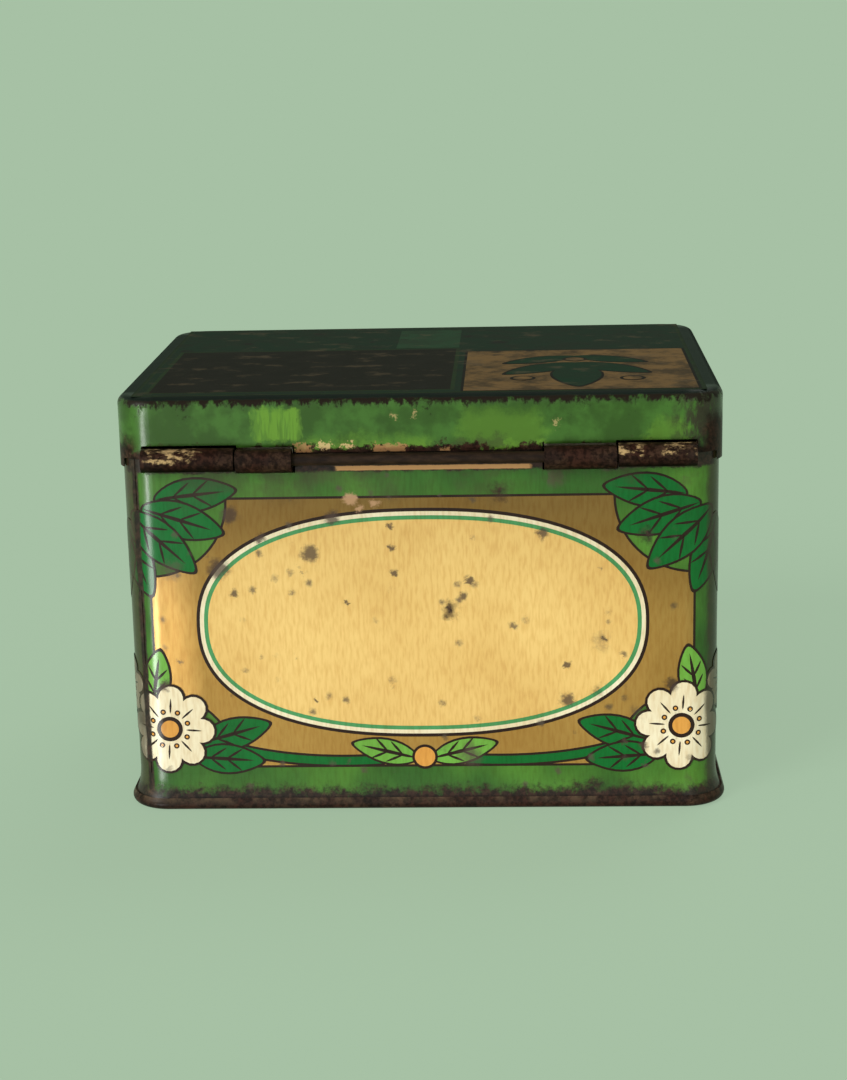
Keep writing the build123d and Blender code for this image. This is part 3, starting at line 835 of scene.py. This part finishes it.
# Painted shade: each ink of the top is given much darker, as shade on the top.
top_tan = top_ink("lid tan ink", (98, 76, 46), 0.75)
top_brown = top_ink("lid brown ink", (25, 21, 18), 0.3)
top_border = top_ink("lid border ink", (32, 44, 26), 0.5)
top_green = top_ink("lid mid green ink", (34, 55, 37), 0.45)
top_far = top_ink("lid far green ink", (24, 37, 27), 0.4)
top_leaf = top_ink("lid leaf ink", (20, 40, 27), 0.3)
top_line = top_ink("lid key line ink", (24, 20, 18), 0.2)
panel_square = cut_figure("panel square", [(-0.5, -0.5), (0.5, -0.5), (0.5, 0.5), (-0.5, 0.5)])


def on_lid(sheet, ink, layer, left, right, near, far):
    """A block of ink on the lid's top, between two places across and two along, in millimetres."""
    stamp(sheet, panel_square, ink, layer, ((left + right) / 2, -(near + far) / 2), (right - left, near - far))


lid_sheet = []
on_lid(lid_sheet, top_border, 0, -41.0, 41.0, 29.6, -31.4)
on_lid(lid_sheet, top_far, 1, -40.4, 40.4, 29.0, -30.8)
on_lid(lid_sheet, top_green, 3, -5.0, 5.0, -9.8, -28.2)
on_lid(lid_sheet, top_border, 2, -5.2, 39.4, 27.6, -9.2)
on_lid(lid_sheet, top_brown, 3, -4.6, 38.8, 27.0, -8.6)
on_lid(lid_sheet, top_line, 2, -40.3, -6.1, 28.9, -6.3)
on_lid(lid_sheet, top_tan, 3, -39.9, -6.5, 28.5, -5.9)
for run, along, turn, length in (
        (-23, 0, 30, 12), (-23, 0, 150, 12), (-23, 6, 42, 14), (-23, 6, 138, 14), (-23, 8, 90, 18)):
    stamp(lid_sheet, leaf, top_line, 4, (run, -along), (length + 0.8, length * 0.42 + 0.8), -turn)
    stamp(lid_sheet, leaf, top_leaf, 5, (run, -along), (length, length * 0.42), -turn)
for run, along in ((-31, 20), (-15, 19), (-23, 3)):
    stamp(lid_sheet, disc, top_line, 6, (run, -along), (1.9, 1.9))
    stamp(lid_sheet, disc, top_tan, 7, (run, -along), (1.4, 1.4))
lid_print = join_sheet(lid_sheet, "lid_print")
for point in lid_print.data.vertices:
    point.co = (point.co.x, -point.co.z, LID_TOP + FIRST_FILM + point.co.y)
thicken(lid_print)
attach(lid_print, "lid")
for figure in figures:
    bpy.data.objects.remove(figure)


# Camera: where the photograph was taken from, a little above the tin and behind it.
# Its place, its turns in degrees and its lens were solved from the edges of the tin.
CAMERA_PLACE = (-0.014359, 0.334373, 0.117642)
CAMERA_BEARING = 182.615
CAMERA_DIP = 14.193
CAMERA_LEAN = -1.288
CAMERA_LENS = 72.73

camera_data = bpy.data.cameras.new("camera")
camera_data.lens = CAMERA_LENS
camera_data.clip_start = 0.01
camera = bpy.data.objects.new("camera", camera_data)
bpy.context.scene.collection.objects.link(camera)
turn = Matrix.Rotation(math.radians(CAMERA_BEARING), 4, "Z")
tilt = Matrix.Rotation(math.radians(90 - CAMERA_DIP), 4, "X")
roll = Matrix.Rotation(math.radians(CAMERA_LEAN), 4, "Z")
camera.matrix_world = Matrix.Translation(CAMERA_PLACE) @ turn @ tilt @ roll
bpy.context.scene.camera = camera


# Floor and air: a plain pale sage sheet that runs out of sight, in the same colour as what is behind it.
# Part of the sheet's colour is its own light to the camera, so that the tin's shadow on it stays faint.
SAGE = shade(167, 193, 165)
OWN_LIGHT = 0.99
OWN_SHARE = 0.8
AIR_LIGHT = 0.45


def seen_directly(finish):
    """1 to the camera and to what mirrors it or lets it through, and 0 where it only lights the tin."""
    path = node(finish, "LightPath")
    to_eye = reckon(finish, "MAXIMUM", path.outputs["Is Camera Ray"], path.outputs["Is Glossy Ray"])
    return reckon(finish, "MAXIMUM", to_eye, path.outputs["Is Transmission Ray"])


bpy.ops.mesh.primitive_plane_add(size=60, location=(0, 0, 0))
floor = bpy.context.object
floor.name = "floor"
floor_finish = new_finish("floor sage paper")
floor_shader = floor_finish.node_tree.nodes["Principled BSDF"]
floor_shader.inputs["Base Color"].default_value = SAGE
floor_shader.inputs["Roughness"].default_value = 1.0
floor_shader.inputs["Specular IOR Level"].default_value = 0.0
floor.data.materials.append(floor_finish)
glow = node(floor_finish, "Emission", {"Color": SAGE, "Strength": OWN_LIGHT})
sheet_mix = node(floor_finish, "MixShader", {"Fac": both(floor_finish, seen_directly(floor_finish), OWN_SHARE)})
lead(floor_finish, floor_shader.outputs["BSDF"], sheet_mix.inputs[1])
lead(floor_finish, glow.outputs["Emission"], sheet_mix.inputs[2])
lead(floor_finish, sheet_mix.outputs["Shader"], floor_finish.node_tree.nodes["Material Output"].inputs["Surface"])

air = bpy.data.worlds.new("studio air")
air.use_nodes = True
bpy.context.scene.world = air
air_light = air.node_tree.nodes["Background"]
air_light.inputs["Color"].default_value = (1, 1, 1, 1)
air_light.inputs["Strength"].default_value = AIR_LIGHT
behind = node(air, "Background", {"Color": SAGE, "Strength": 1.0})
air_mix = node(air, "MixShader", {"Fac": seen_directly(air)})
lead(air, air_light.outputs["Background"], air_mix.inputs[1])
lead(air, behind.outputs["Background"], air_mix.inputs[2])
lead(air, air_mix.outputs["Shader"], air.node_tree.nodes["World Output"].inputs["Surface"])


# Lamps: a window to the photograph's left, its reflection from the table, and weaker lamps behind and in front.
# All are far away and soft, and the floor throws no shadow of its own on the tin.
def soft_lamp(name, bearing, height, strength, spread):
    """A far lamp: bearing is counted from behind the tin towards +X, in degrees, and height from level."""
    lamp_data = bpy.data.lights.new(name, "SUN")
    lamp_data.energy = strength
    lamp_data.angle = math.radians(spread)
    lamp = bpy.data.objects.new(name, lamp_data)
    bpy.context.scene.collection.objects.link(lamp)
    across, up = math.radians(bearing), math.radians(height)
    towards = Vector((math.sin(across) * math.cos(up), math.cos(across) * math.cos(up), math.sin(up)))
    lamp.rotation_euler = towards.to_track_quat("Z", "Y").to_euler()


soft_lamp("window_lamp", 45, 30, 1.8, 25)
soft_lamp("table_lamp", 32, -16, 1.5, 12)
soft_lamp("sheen_lamp", 17, -20, 0.15, 14)
soft_lamp("fill_lamp", 0, 18, 0.4, 40)
soft_lamp("front_lamp", 205, 55, 1.0, 30)
floor.visible_shadow = False

bpy.context.scene.view_settings.view_transform = "Standard"
